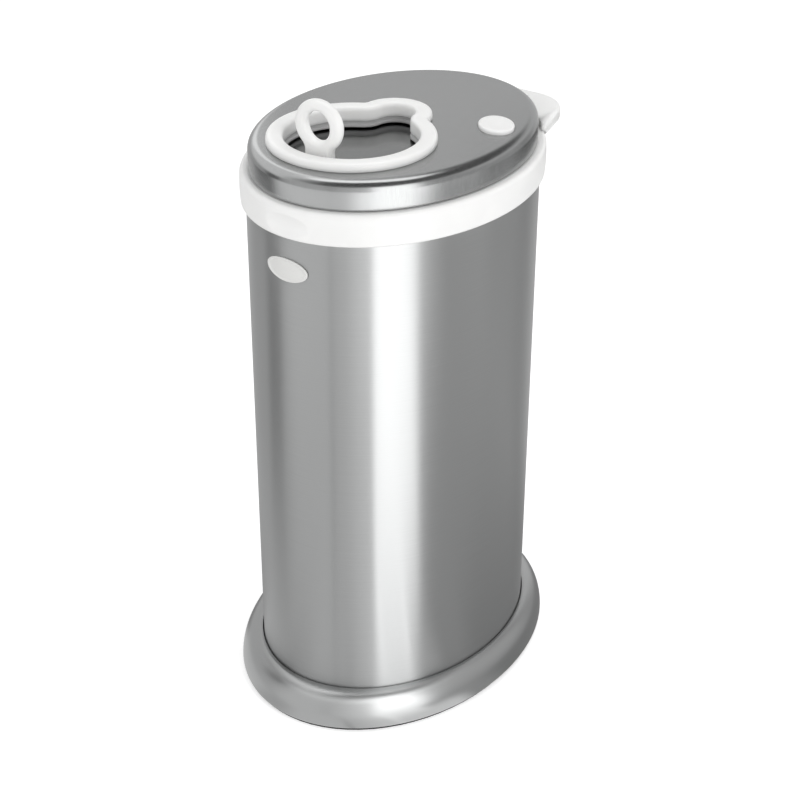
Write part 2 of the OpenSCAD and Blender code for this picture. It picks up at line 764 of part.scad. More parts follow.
// A guide rail: a C-shaped channel for a runner, hung from the liner
window_front = pawl_end[1] - pawl_half_width - 6;
window_back = button_y + button_depth + 4.5;
module rail(window) {
    inner = door_half_width + runner_width + slide_gap;
    lip_x = door_half_width + slide_gap;
    lip = runner_width + 0.2;
    low = runner_bottom - slide_gap - 2;
    high = runner_top + slide_gap;
    upper = high + 1.6;
    long = rail_back - rail_front;
    difference() {
        union() {
            translate([inner, rail_front, low]) cube([rail_wall, long, liner_under - low]);
            translate([lip_x, rail_front, low]) cube([lip, long, 2]);
            translate([lip_x, rail_front, high]) cube([lip, long, upper - high]);
            translate([inner + rail_wall - 0.2, rail_front, liner_under - 2.2])
                cube([rail_flange, long, 2.2]);
        }
        if (window)
            translate([inner - cut, window_front, upper])
                cube([rail_wall + rail_flange + 2 * cut, window_back - window_front,
                      liner_under - upper + cut]);
        for (y = rail_screw_y)
            translate([rail_screw_x, y, liner_under - 10])
                cylinder(r = screw_radius + 0.2, h = 20, $fn = 24);
    }
}

module rail_left() {
    color(white_plastic) translate([middle_shift, 0, 0]) mirror([1, 0, 0]) rail(false);
}

module rail_right() {
    color(white_plastic) translate([middle_shift, 0, 0]) rail(true);
}

rail_screw_x = rail_outer - 3.7;
rail_screw_y = [rail_front + 10, window_front - 12, rail_back - 12];
module rail_screw_places() {
    for (side = [-1, 1], y = rail_screw_y)
        translate([middle_shift + side * rail_screw_x, y, 0]) children();
}

module rail_screws() {
    color(steel) rail_screw_places() screw([0, 0, liner_under - 2.2], 3.8);
}

// Pull loop

function loop_reach(half_x, half_z, a) =
    1 / norm([cos(a) / half_x, sin(a) / half_z]);

// One round section of the loop at angle a round its hole
function loop_section(a) =
    let (inner = loop_reach(hole_half_width, hole_half_height, a),
         outer = loop_reach(loop_half_width, loop_half_height, a),
         middle = (inner + outer) / 2, half = (outer - inner) / 2)
    [for (i = [0 : 15]) let (v = 360 * i / 16, reach = middle + half * cos(v))
        [middle_shift + reach * cos(a), loop_y + loop_thickness / 2 * sin(v),
         loop_centre + reach * sin(a)]];

// The white loop on its neck, which stands on the door and parks in the lobe
module pull_loop() {
    neck_end = loop_centre - loop_half_height + 4;
    color(white_plastic) difference() {
        union() {
            hoop([for (i = [0 : 39]) loop_section(360 * i / 40)]);
            translate([middle_shift, loop_y, plate_top]) linear_extrude(neck_end - plate_top) {
                square([loop_neck - loop_thickness, loop_thickness - 2], center = true);
                for (side = [-1, 1])
                    translate([side * (loop_neck - loop_thickness + 2) / 2, 0])
                        circle(d = loop_thickness - 2, $fn = 32);
            }
        }
        for (side = [-1, 1])
            translate([middle_shift + side * loop_screw_x, loop_y, plate_top - cut])
                cylinder(r = screw_radius, h = 12 + cut, $fn = 24);
    }
}

module loop_screws() {
    color(steel) for (side = [-1, 1])
        screw([middle_shift + side * loop_screw_x, loop_y, tray_bottom],
            door_tray_thickness + door_plate_thickness + 10);
}

// Lock button

// The oval cap with a shallow dish, a skirt and a stem
module lock_button() {
    skirt = lid_top - cup_floor - button_travel - 0.4;
    dish = 90;
    color(white_plastic) difference() {
        union() {
            stack([for (p = [[0, lid_top - skirt], [0, button_top - 1.4], [0.5, button_top - 0.5],
                             [1.6, button_top]])
                flat_ring(button_oval(-p[0]), p[1])]);
            translate([button_x, button_y, pawl_top])
                cylinder(r = stem_radius, h = button_top - pawl_top - 1, $fn = 48);
        }
        difference() {
            button_prism(-2, lid_top - skirt - cut, button_top - 2.4);
            translate([button_x, button_y, pawl_top])
                cylinder(r = stem_radius, h = button_top - pawl_top, $fn = 48);
        }
        translate([button_x, button_y, button_top + dish - 0.9]) sphere(r = dish, $fn = 96);
        translate([button_x, button_y, pawl_top - cut])
            cylinder(r = screw_radius, h = 6, $fn = 24);
    }
}

// The flat arm under the button that comes down behind the catch
module lock_pawl() {
    run = [button_x, button_y] - pawl_end;
    color(steel) translate([0, 0, pawl_bottom]) linear_extrude(pawl_thickness) difference() {
        union() {
            translate(pawl_end) circle(r = pawl_half_width, $fn = 32);
            translate([button_x, button_y]) circle(r = 6.5, $fn = 32);
            translate(pawl_end) rotate(atan2(run[1], run[0])) translate([0, 0.4 - pawl_half_width])
                square([norm(run), 2 * pawl_half_width - 0.8]);
        }
        translate([button_x, button_y]) circle(r = screw_radius + 0.2, $fn = 24);
    }
}

module pawl_screw() {
    color(steel) screw([button_x, button_y, pawl_bottom], pawl_thickness + 4.5);
}

// The return spring round the stem's guide, drawn as a sleeve
module lock_spring() {
    color(steel) translate([button_x, button_y, cup_floor + 0.1]) difference() {
        cylinder(r = stem_radius + 4.2, h = button_top - 2.5 - cup_floor - 0.1, $fn = 48);
        translate([0, 0, -cut]) cylinder(r = stem_radius + 2.8, h = 20, $fn = 48);
    }
}

body_shell();
base_ring();
base_floor();
foot_ring();
base_screws();
collar();
bag_rim();
badge();
hinge_housing();
hinge_pin();
housing_screws();
lid_shell();
lid_liner();
lid_seal();
aperture_ring();
ring_screws();
aperture_seal();
rail_left();
rail_right();
rail_screws();
door_plate();
door_tray();
lock_catch();
pull_loop();
loop_screws();
lock_button();
lock_pawl();
pawl_screw();
lock_spring();
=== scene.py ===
"""Looks for an oval steel nappy bin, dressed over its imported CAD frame.

The front is -Y and up is +Z. Sizes below are millimetres and repeat those of the part's source.
Each visible shell is a section carried round the body's oval or round the aperture, worked out
as whole arrays. A mesh is turned to metres when it is made.
"""

import json
import math

import bmesh
import bpy
import numpy as np
from mathutils import Matrix, Vector
from mathutils.geometry import delaunay_2d_cdt

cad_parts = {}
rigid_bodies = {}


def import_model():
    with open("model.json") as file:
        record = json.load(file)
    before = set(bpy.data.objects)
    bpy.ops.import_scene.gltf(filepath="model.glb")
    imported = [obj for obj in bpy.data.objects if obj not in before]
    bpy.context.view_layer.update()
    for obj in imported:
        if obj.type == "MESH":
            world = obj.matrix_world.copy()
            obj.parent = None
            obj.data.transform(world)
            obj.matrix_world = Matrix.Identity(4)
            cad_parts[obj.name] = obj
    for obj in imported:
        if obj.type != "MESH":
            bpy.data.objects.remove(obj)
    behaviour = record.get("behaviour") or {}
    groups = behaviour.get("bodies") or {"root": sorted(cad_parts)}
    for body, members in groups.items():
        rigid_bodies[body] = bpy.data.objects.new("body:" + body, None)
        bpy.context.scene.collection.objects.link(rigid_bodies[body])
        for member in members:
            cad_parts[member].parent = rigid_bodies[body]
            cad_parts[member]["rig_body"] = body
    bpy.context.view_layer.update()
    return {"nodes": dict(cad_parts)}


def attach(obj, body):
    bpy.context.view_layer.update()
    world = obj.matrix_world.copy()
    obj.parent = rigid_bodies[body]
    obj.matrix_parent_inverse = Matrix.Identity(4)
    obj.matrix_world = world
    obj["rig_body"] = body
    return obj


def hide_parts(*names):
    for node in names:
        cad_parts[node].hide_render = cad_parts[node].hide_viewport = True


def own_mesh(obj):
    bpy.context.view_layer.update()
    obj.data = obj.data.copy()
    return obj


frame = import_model()
nodes = frame["nodes"]

# Sizes of the body and foot
HALF_LENGTH, HALF_WIDTH = 151.8, 116.6
TUBE_FOOT, TUBE_TOP, TUBE_WALL = 7.3, 517.0, 1.2
FLARE_LONG, FLARE_SIDE = 25.5, 18.9
FOOT_HEIGHT, FOOT_WIDE, FOOT_UNDER = 36.0, 8.0, 2.6
FOOT_WALL, FOOT_LIP = 1.2, 16.0

# Sizes of the collar, bag rim and badge
COLLAR_TOP, COLLAR_BOTTOM, COLLAR_PROUD = 520.3, 491.7, 5.0
SHELF, LEDGE_TOP = 9.0, 510.3
HOLLOW_DEPTH, HOLLOW_RADIUS = 2.6, 25.0
BADGE_Z, BADGE_WIDTH, BADGE_HEIGHT = 461.7, 43.0, 21.0

# Sizes of the lid, aperture ring, loop and button. The aperture, door and badge stand a little
# to the left of the middle
MIDDLE = -4.2
LID_BOTTOM, LID_TOP, LID_INSET, LID_ROUND, LID_WALL = 521.2, 546.0, 3.0, 9.0, 1.0
RING_RADIUS, RING_FORWARD, RING_BAND, RING_PROUD = 72.7, 59.0, 15.0, 7.6
LOBE_RADIUS, LOBE_BACK, NECK_RADIUS, RING_WALL = 32.6, 4.6, 4.5, 3.5
RING_BOTTOM, SEAL_BOTTOM, DOOR_TOP = 541.0, 535.0, 533.5
LOOP_Y, LOOP_Z, LOOP_HALF_WIDTH, LOOP_HALF_HEIGHT = -103.0, 572.7, 23.5, 22.5
HOLE_HALF_WIDTH, HOLE_HALF_HEIGHT, LOOP_THICK, NECK_HALF = 12.0, 12.8, 10.0, 13.0
BUTTON, BUTTON_TURN = (79.0, 37.4), -44.0
BUTTON_LONG, BUTTON_WIDE, BUTTON_TOP = 19.8, 15.4, 549.6
CAP_WALL, STEM_RADIUS, STEM_FOOT = 2.0, 4.5, 538.5
BUTTON_TRAVEL, SPRING_FOOT, SPRING_TOP, SPRING_RADIUS = 3.0, 541.5, 547.1, 8.0

# Notch in the lid's skirt over the hinge housing
NOTCH_TOP, NOTCH_HALF = 528.1, 18.5


# Outlines in plan, with their outward normals

def body_oval(count):
    """The body's ellipse, points and unit normals, anticlockwise from +X."""
    t = np.linspace(0, 2 * np.pi, count, endpoint=False)
    points = np.stack([HALF_WIDTH * np.cos(t), HALF_LENGTH * np.sin(t)], 1)
    normals = np.stack([HALF_LENGTH * np.cos(t), HALF_WIDTH * np.sin(t)], 1)
    return points, normals / np.linalg.norm(normals, axis=1)[:, None]


def button_oval(grow, count=96):
    """The button's ellipse, grown by an amount and turned about its centre."""
    t = np.linspace(0, 2 * np.pi, count, endpoint=False)
    flat = np.stack([(BUTTON_LONG + grow) * np.cos(t), (BUTTON_WIDE + grow) * np.sin(t)], 1)
    turn = math.radians(BUTTON_TURN)
    spin = np.array([[math.cos(turn), math.sin(turn)], [-math.sin(turn), math.cos(turn)]])
    return flat @ spin + BUTTON


def aperture_outline(step=1.6):
    """The ring's outer edge: a big circle and a small one joined by hollow arcs that touch both.

    Each arc is sampled at one step of length, and its normal is its radius, turned round on the
    two hollow arcs, so that an offset along the normals keeps every arc tangent to the next.
    """
    reach, side = RING_RADIUS + NECK_RADIUS, LOBE_RADIUS + NECK_RADIUS
    apart = RING_FORWARD + LOBE_BACK
    along = (reach**2 - side**2 + apart**2) / (2 * apart)
    neck_x, neck_y = math.sqrt(reach**2 - along**2), along - RING_FORWARD
    big, small = math.atan2(along, neck_x), math.atan2(neck_y - LOBE_BACK, neck_x)
    arcs = (((0, -RING_FORWARD), RING_RADIUS, np.pi - big, 2 * np.pi + big, 1),
            ((neck_x, neck_y), NECK_RADIUS, np.pi + big, np.pi + small, -1),
            ((0, LOBE_BACK), LOBE_RADIUS, small, np.pi - small, 1),
            ((-neck_x, neck_y), NECK_RADIUS, -small, -big, -1))
    points, normals = [], []
    for centre, radius, start, stop, sign in arcs:
        count = max(10, int(radius * abs(stop - start) / step))
        a = np.linspace(start, stop, count, endpoint=False)
        ray = np.stack([np.cos(a), np.sin(a)], 1)
        points.append(np.array(centre) + radius * ray)
        normals.append(sign * ray)
    return np.concatenate(points) + [MIDDLE, 0], np.concatenate(normals)


def carried(outline, section):
    """A grid of points: each [outward, height] pair of the section moved round the outline."""
    points, normals = outline
    section = np.asarray(section, float)
    plan = points[None] + section[:, 0, None, None] * normals[None]
    height = np.broadcast_to(section[:, 1, None, None], plan.shape[:2] + (1,))
    return np.concatenate([plan, height], 2)


def rounded(corners, radius, steps=6):
    """A closed section with each corner eased by a curve of about that radius.

    The curve is the quadratic with the corner as its middle control point, started and ended
    one radius from the corner, or just under half way along a shorter side.
    """
    corners = np.asarray(corners, float)
    before, after = np.roll(corners, 1, 0), np.roll(corners, -1, 0)
    radius = np.broadcast_to(np.asarray(radius, float), len(corners))
    out = []
    for p, a, b, r in zip(corners, before, after, radius):
        la, lb = np.linalg.norm(a - p), np.linalg.norm(b - p)
        start = p + (a - p) * min(r, 0.48 * la) / la
        stop = p + (b - p) * min(r, 0.48 * lb) / lb
        t = np.linspace(0, 1, steps + 1)[:, None]
        out.append((1 - t) ** 2 * start + 2 * t * (1 - t) * p + t * t * stop)
    return np.concatenate(out)


# Meshes

def grid_faces(rows, columns, close_rows, close_columns):
    """Quads of a grid of points, with the pairs of steps that each corner stands at."""
    r, c = np.meshgrid(np.arange(rows if close_rows else rows - 1),
                       np.arange(columns if close_columns else columns - 1), indexing="ij")
    r, c = r.ravel(), c.ravel()
    steps = np.stack([np.stack([r, c], 1), np.stack([r, c + 1], 1),
                      np.stack([r + 1, c + 1], 1), np.stack([r + 1, c], 1)], 1)
    faces = (steps[..., 0] % rows) * columns + steps[..., 1] % columns
    return faces, steps


def lengths(points, close):
    """Distance run along each row of points, with the closing step where it is closed."""
    if close:
        points = np.concatenate([points, points[:1]])
    return np.concatenate([[0], np.cumsum(np.linalg.norm(np.diff(points, axis=0), axis=1))])


def volume(points, faces):
    """Signed volume of a closed mesh of triangles and quads, positive when faces point out."""
    total = 0.0
    for f in faces:
        p = points[np.asarray(f)]
        total += np.einsum("ij,ij->", np.cross(p[1:-1], p[2:]), np.broadcast_to(p[0], p[1:-1].shape))
    return total / 6


def finish_piece(mesh, name, body, stands_for, material, sharp):
    """Shades a mesh, links it, names what carries it, hides the CAD nodes that it stands for and gives it
    its finish.
    """
    mesh.materials.append(material)
    mesh.shade_smooth()
    mesh.set_sharp_from_angle(angle=math.radians(sharp))
    piece = bpy.data.objects.new(name, mesh)
    bpy.context.scene.collection.objects.link(piece)
    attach(piece, body)
    if stands_for:
        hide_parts(*stands_for)
    return piece


def shell(name, grids, body, stands_for, material, close_rows=True, sharp=35, extra=()):
    """One piece from closed grids of points, with a UV map in metres that runs round and along.

    extra holds more (points, faces) patches, welded to the grids where they share points.
    """
    all_points, all_faces, all_uv, start = [], [], [], 0
    for grid in grids:
        rows, columns = grid.shape[:2]
        faces, steps = grid_faces(rows, columns, close_rows, True)
        points = grid.reshape(-1, 3)
        if volume(points, faces) < 0:
            faces, steps = faces[:, ::-1], steps[:, ::-1]
        along = lengths(grid[0], True)
        across = lengths(grid[:, 0], close_rows)
        all_uv.append(np.stack([along[steps[..., 1]], across[steps[..., 0]]], 2).reshape(-1, 2))
        all_faces += (faces + start).tolist()
        all_points.append(points)
        start += len(points)
    for points, faces in extra:
        all_points.append(np.asarray(points, float))
        all_faces += [[i + start for i in f] for f in faces]
        all_uv.append(np.concatenate([np.asarray(points, float)[list(f), :2] for f in faces]))
        start += len(points)
    mesh = bpy.data.meshes.new(name)
    mesh.from_pydata((np.concatenate(all_points) * 0.001).tolist(), [], all_faces)
    layer = mesh.uv_layers.new(name="along")
    layer.data.foreach_set("uv", (np.concatenate(all_uv) * 0.001).astype(np.float32).ravel())
    if extra:
        weld(mesh)
    return finish_piece(mesh, name, body, stands_for, material, sharp)


def weld(mesh, distance=2e-5):
    """Joins points that lie on each other and turns every face outward."""
    work = bmesh.new()
    work.from_mesh(mesh)
    bmesh.ops.remove_doubles(work, verts=work.verts, dist=distance)
    bmesh.ops.recalc_face_normals(work, faces=work.faces)
    work.to_mesh(mesh)
    work.free()


def smoothed(name, node, material, sharp=35):
    """A copy of a CAD node with its loose triangles joined, so that its round faces shade smooth."""
    mesh = nodes[node].data.copy()
    mesh.name = name
    mesh.materials.clear()
    work = bmesh.new()
    work.from_mesh(mesh)
    bmesh.ops.remove_doubles(work, verts=work.verts, dist=2e-6)
    bmesh.ops.dissolve_degenerate(work, edges=work.edges, dist=1e-6)
    work.to_mesh(mesh)
    work.free()
    return finish_piece(mesh, name, nodes[node]["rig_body"], [node], material, sharp)


# Materials

def linear(code, alpha=1.0):
    """A linear colour from an sRGB hex code."""
    s = np.array([int(code[i:i + 2], 16) for i in (1, 3, 5)]) / 255
    s = np.where(s <= 0.04045, s / 12.92, ((s + 0.055) / 1.055) ** 2.4)
    return (*s.tolist(), alpha)


def add_node(tree, kind, settings=None, **links):
    """Adds a node. settings holds its attributes and socket values, and links feeds its sockets,
    each named with _ for a space, or in0, in1 where several have the same name."""
    made = tree.nodes.new(kind)
    for key, value in (settings or {}).items():
        if key in made.inputs:
            made.inputs[key].default_value = value
        else:
            setattr(made, key, value)
    for key, source in links.items():
        numbered = key.startswith("in") and key[2:].isdigit()
        tree.links.new(source, made.inputs[int(key[2:]) if numbered else key.replace("_", " ")])
    return made


def new_material(name):
    """An empty node material and its output."""
    material = bpy.data.materials.new(name)
    material.use_nodes = True
    material.node_tree.nodes.clear()
    return material, material.node_tree, material.node_tree.nodes.new("ShaderNodeOutputMaterial")


def brushed_stainless(name, colour, roughness, aniso, turn, grain, use_uv=True, marks=1.0):
    """Stainless steel sheet, brushed in one direction and left satin.

    The grit leaves fine parallel scratches: long streaks along the brushing, a fraction of a
    millimetre apart, drawn here as coarse as the render can show. They vary the roughness and
    raise a very low bump, and the gloss spreads across them. marks is how strongly they show.
    """
    line, depth = 0.0006, 0.1 * marks
    material, tree, out = new_material(name)
    if use_uv:
        place = add_node(tree, "ShaderNodeUVMap", {"uv_map": "along"}).outputs["UV"]
    else:
        place = add_node(tree, "ShaderNodeTexCoord").outputs["Object"]
    stretch = add_node(tree, "ShaderNodeMapping", {"Scale": grain}, Vector=place)
    streaks = add_node(tree, "ShaderNodeTexNoise",
                       {"Scale": 1 / line, "Detail": 3.0, "Roughness": 0.6}, Vector=stretch.outputs[0])
    rough = add_node(tree, "ShaderNodeMapRange",
                     {"From Min": 0.3, "From Max": 0.7, "To Min": roughness * (1 - depth),
                      "To Max": roughness * (1 + depth)}, Value=streaks.outputs["Fac"])
    tone = add_node(tree, "ShaderNodeValToRGB", Fac=streaks.outputs["Fac"])
    base = np.array(linear(colour))
    dull, shiny = tone.color_ramp.elements
    dull.position, shiny.position = 0.3, 0.7
    dull.color = (*(base[:3] * (1 - 0.4 * depth)), 1)
    shiny.color = (*(base[:3] * (1 + 0.4 * depth)), 1)
    bump = add_node(tree, "ShaderNodeBump", {"Strength": 0.02 * marks, "Distance": 0.00002},
                    Height=streaks.outputs["Fac"])
    steel = add_node(tree, "ShaderNodeBsdfPrincipled",
                     {"Metallic": 1.0, "Anisotropic": aniso, "Anisotropic Rotation": turn},
                     Base_Color=tone.outputs["Color"], Roughness=rough.outputs["Result"],
                     Normal=bump.outputs["Normal"])
    if aniso and use_uv:
        round_it = add_node(tree, "ShaderNodeTangent", {"direction_type": "UV_MAP", "uv_map": "along"})
        tree.links.new(round_it.outputs["Tangent"], steel.inputs["Tangent"])
    tree.links.new(steel.outputs[0], out.inputs["Surface"])
    return material


def moulded_plastic(name, colour, roughness, glow=0.0):
    """Injection-moulded plastic or rubber: smooth, with the faint unevenness of a polished mould.

    The eye sees one soft highlight that breaks up a little. glow is the share of light that
    enters the plastic and comes out near by, which softens the shade on white pieces. The mould's
    marks are about 1.2 mm apart and its broad unevenness about 30 mm.
    """
    marks, broad_marks = 0.0012, 0.03
    material, tree, out = new_material(name)
    place = add_node(tree, "ShaderNodeTexCoord").outputs["Object"]
    uneven = add_node(tree, "ShaderNodeTexNoise", {"Scale": 1 / marks, "Detail": 2.0}, Vector=place)
    broad = add_node(tree, "ShaderNodeTexNoise", {"Scale": 1 / broad_marks, "Detail": 2.0},
                     Vector=place)
    base = np.array(linear(colour))
    tone = add_node(tree, "ShaderNodeValToRGB", Fac=broad.outputs["Fac"])
    darker, paler = tone.color_ramp.elements
    darker.position, paler.position = 0.35, 0.65
    darker.color = (*(base[:3] * 0.985), 1)
    paler.color = (*np.minimum(base[:3] * 1.01, 1), 1)
    rough = add_node(tree, "ShaderNodeMapRange",
                     {"From Min": 0.3, "From Max": 0.7, "To Min": roughness * 0.9,
                      "To Max": roughness * 1.1}, Value=uneven.outputs["Fac"])
    bump = add_node(tree, "ShaderNodeBump", {"Strength": 0.04, "Distance": 0.0001},
                    Height=uneven.outputs["Fac"])
    plastic = add_node(tree, "ShaderNodeBsdfPrincipled",
                       {"IOR": 1.49, "Subsurface Weight": glow, "Subsurface Scale": 1.0,
                        "Subsurface Radius": (0.004, 0.004, 0.0038)},
                       Base_Color=tone.outputs["Color"], Roughness=rough.outputs["Result"],
                       Normal=bump.outputs["Normal"])
    tree.links.new(plastic.outputs[0], out.inputs["Surface"])
    return material


# How the grain is stretched along the brushing: on a piece's own map, and on the flat lid
ROUND_GRAIN, FOOT_GRAIN, LENGTHWISE_GRAIN = (0.01, 1.0, 1.0), (0.02, 1.0, 1.0), (1.0, 0.05, 0.05)
EVEN_GRAIN = (1.0, 1.0, 1.0)

# The tube's sheet is brushed round the body, so its gloss spreads up and down
TUBE_STEEL = brushed_stainless("brushed stainless sheet, tube", "#bcbdbd", 0.35, 1.0, 0.25, ROUND_GRAIN)
# The lid and door are pressed from darker sheet, and the door's is glossier
LID_STEEL = brushed_stainless("brushed stainless sheet, lid", "#a6a7a7", 0.24, 0.0, 0.0,
                              LENGTHWISE_GRAIN, use_uv=False)
DOOR_STEEL = brushed_stainless("brushed stainless sheet, door", "#868787", 0.14, 0.0, 0.0,
                               LENGTHWISE_GRAIN, use_uv=False)
# The foot is drawn deep, which leaves almost no brushing to see
FOOT_STEEL = brushed_stainless("satin stainless pressing, foot", "#bcbdbd", 0.3, 0.0, 0.0,
                               FOOT_GRAIN, marks=0.15)
SMALL_STEEL = brushed_stainless("turned steel, screws and pins", "#8f9092", 0.3, 0.0, 0.0,
                                EVEN_GRAIN, use_uv=False)
# The white pieces are one plastic, and the badge's is greyer and opaque
WHITE = moulded_plastic("polypropylene moulding, white", "#f1f1f0", 0.32, glow=0.15)
BADGE_WHITE = moulded_plastic("ABS moulding, badge", "#dcdcda", 0.3)
FLOOR_PLASTIC = moulded_plastic("polypropylene moulding, grey floor", "#6b6c6d", 0.5)
# Rubber is matter than the plastics
GREY_RUBBER = moulded_plastic("silicone rubber, grey", "#b4b4b4", 0.5)
BLACK_RUBBER = moulded_plastic("rubber, black", "#2a2a2b", 0.6)

OVAL = body_oval(480)
RING = aperture_outline()


# Body

def tube():
    """The straight wall: a thin upright section carried round the oval."""
    z = np.linspace(TUBE_TOP, TUBE_FOOT, 24)
    outer = np.stack([np.zeros_like(z), z], 1)
    inner = np.stack([np.full_like(z, -TUBE_WALL), z[::-1]], 1)
    shell("body_tube", [carried(OVAL, np.concatenate([outer, inner]))], "bin", ["body_shell"],
          TUBE_STEEL)


def foot_grid(share, inset, height):
    """Rings of the foot: the body's ellipse grown by share of the flare on each axis, less inset."""
    t = np.linspace(0, 2 * np.pi, 480, endpoint=False)
    share, inset, height = (np.asarray(a, float)[:, None] for a in (share, inset, height))
    x = (HALF_WIDTH + share * FLARE_SIDE - inset) * np.cos(t)
    y = (HALF_LENGTH + share * FLARE_LONG - inset) * np.sin(t)
    return np.stack([x, y, np.broadcast_to(height, x.shape)], 2)


def foot():
    """The flared foot: a quarter oval in section, its top edge rolled into the seam at the tube,
    its bottom edge curled under to a flat lip, and the same line again one wall inside.

    A row of the section is its share of the flare, its inset and its height.
    """
    turned, curl_steps, depth = math.radians(60), 8, FOOT_WIDE - FOOT_UNDER
    under = np.linspace(turned, 0, curl_steps, endpoint=False)
    drop = depth * np.sin(under) / math.sin(turned)
    inward = depth * (1 - np.cos(under)) * 1.6
    low, flat, full = FOOT_UNDER + FOOT_WALL, np.zeros(30), np.ones(curl_steps)
    a = np.linspace(0, np.pi / 2, len(flat))
    rise = FOOT_HEIGHT - FOOT_WIDE
    flare = np.stack([np.cos(a), flat, FOOT_WIDE + rise * np.sin(a)], 1)
    inner_flare = np.stack([np.cos(a), flat + FOOT_WALL, FOOT_WIDE + (rise - FOOT_WALL) * np.sin(a)], 1)
    curl = np.stack([full, inward, FOOT_WIDE - drop], 1)
    inner_curl = np.stack([full, inward + FOOT_WALL, np.maximum(FOOT_WIDE - drop, low)], 1)
    seam = [[0.06, 0, FOOT_HEIGHT - 0.6], [0.045, 0, FOOT_HEIGHT - 1.6], [0.04, 0, FOOT_HEIGHT - 4],
            [0.1, FOOT_WALL, FOOT_HEIGHT - 4]]
    section = np.concatenate([[[1, FOOT_LIP, FOOT_UNDER]], curl, flare[:-3], seam,
                              inner_flare[:-4][::-1], inner_curl[::-1], [[1, FOOT_LIP, low]]])
    shell("foot_ring_steel", [foot_grid(*section.T)], "bin", ["base_ring"], FOOT_STEEL)


def collar():
    """The collar's section carried round the oval, then scooped at the front: where a point
    lies inside a cylinder along X it moves back to that cylinder's wall."""
    face = np.linspace(COLLAR_BOTTOM + 1.6, COLLAR_TOP - 3.5, 26)
    bulge = COLLAR_PROUD - 0.5 * ((face - 506) / 13) ** 2
    inner = TUBE_WALL + 0.4
    section = np.concatenate([
        [[0.2, TUBE_TOP], [0.2, COLLAR_BOTTOM], [2.6, COLLAR_BOTTOM], [3.6, COLLAR_BOTTOM + 0.5]],
        np.stack([bulge, face], 1),
        [[4.1, COLLAR_TOP - 2.0], [3.4, COLLAR_TOP - 0.9], [2.2, COLLAR_TOP - 0.2], [1.0, COLLAR_TOP],
         [-SHELF + 0.6, COLLAR_TOP], [-SHELF, COLLAR_TOP - 0.6], [-SHELF, LEDGE_TOP],
         [-SHELF - 2.5, LEDGE_TOP], [-SHELF - 2.5, LEDGE_TOP - 2], [2 - SHELF, LEDGE_TOP - 2],
         [2 - SHELF, TUBE_TOP], [-inner - 2, TUBE_TOP], [-inner - 2, TUBE_TOP - 17],
         [-inner, TUBE_TOP - 17], [-inner, TUBE_TOP]]])
    grid = carried(OVAL, section)
    centre_y = -HALF_LENGTH - COLLAR_PROUD + HOLLOW_DEPTH - HOLLOW_RADIUS
    centre_z = COLLAR_BOTTOM + (COLLAR_TOP - COLLAR_BOTTOM) * 0.4
    rise = np.clip(HOLLOW_RADIUS**2 - (grid[..., 2] - centre_z) ** 2, 0, None)
    wall = centre_y + np.sqrt(rise)
    scooped = (grid[..., 1] < wall) & (rise > 0) & (grid[..., 1] < 0)
    grid[..., 1] = np.where(scooped, wall, grid[..., 1])
    shell("collar_band", [grid], "bin", ["collar"], WHITE, sharp=50)


def bag_rim():
    """The rim's section, a short upright and a slope down and in, carried round the oval."""
    outer = SHELF + 0.2
    corners = [[-outer, LEDGE_TOP], [-outer, COLLAR_TOP - 0.6], [-outer - 3, COLLAR_TOP - 0.6],
               [-outer - 15, COLLAR_TOP - 6.5], [-outer - 15, COLLAR_TOP - 9],
               [-outer - 2.3, COLLAR_TOP - 4], [-outer - 2.3, LEDGE_TOP]]
    shell("bag_rim_slope", [carried(OVAL, rounded(corners, [0.3, 0.8, 2, 1.2, 1.2, 1, 0.3], 4))], "bin",
          ["bag_rim"], WHITE, sharp=50)


def fan(ring):
    """Triangles from a ring of points to their middle, which close the end of a grid."""
    n = len(ring)
    return np.concatenate([ring, [ring.mean(0)]]), [[n, i, (i + 1) % n] for i in range(n)]


def badge():
    """The bare badge: a shallow oval field with a raised rim round it, laid on the tube.

    A point at share s of the way out on a ray keeps its width and height on the oval, and stands
    off the tube by the badge's height at s. The edge turns under to leave a thin dark joint.
    """
    s = np.array([0.2, 0.4, 0.6, 0.74, 0.82, 0.86, 0.89, 0.93, 0.97, 0.99, 1.0, 0.985, 0.955, 0.95])
    high = np.array([1.48, 1.45, 1.4, 1.35, 1.35, 1.55, 1.8, 1.95, 1.85, 1.6, 1.2, 0.75, 0.6, 0.0])
    t = np.linspace(0, 2 * np.pi, 96, endpoint=False)
    x = MIDDLE + BADGE_WIDTH / 2 * s[:, None] * np.cos(t)
    z = BADGE_Z + BADGE_HEIGHT / 2 * s[:, None] * np.sin(t)
    around = np.arcsin(x / HALF_WIDTH)
    normal = np.stack([HALF_LENGTH * np.sin(around), -HALF_WIDTH * np.cos(around)], 2)
    normal /= np.linalg.norm(normal, axis=2)[..., None]
    plan = np.stack([HALF_WIDTH * np.sin(around), -HALF_LENGTH * np.cos(around)], 2)
    grid = np.concatenate([plan + high[:, None, None] * normal, z[..., None]], 2)
    shell("badge_plate", [grid], "bin", ["badge"], BADGE_WHITE, close_rows=False,
          extra=[fan(grid[0]), fan(grid[-1])], sharp=60)


# Lid

def inside(points, loop):
    """Which points lie inside a closed loop, by counting the edges that a ray crosses."""
    a, b = loop, np.roll(loop, -1, 0)
    x, y = points[:, 0, None], points[:, 1, None]
    crosses = (a[:, 1] > y) != (b[:, 1] > y)
    rise = np.where(b[:, 1] == a[:, 1], 1e-12, b[:, 1] - a[:, 1])
    at = a[:, 0] + (y - a[:, 1]) * (b[:, 0] - a[:, 0]) / rise
    return (crosses & (x < at)).sum(1) % 2 == 1


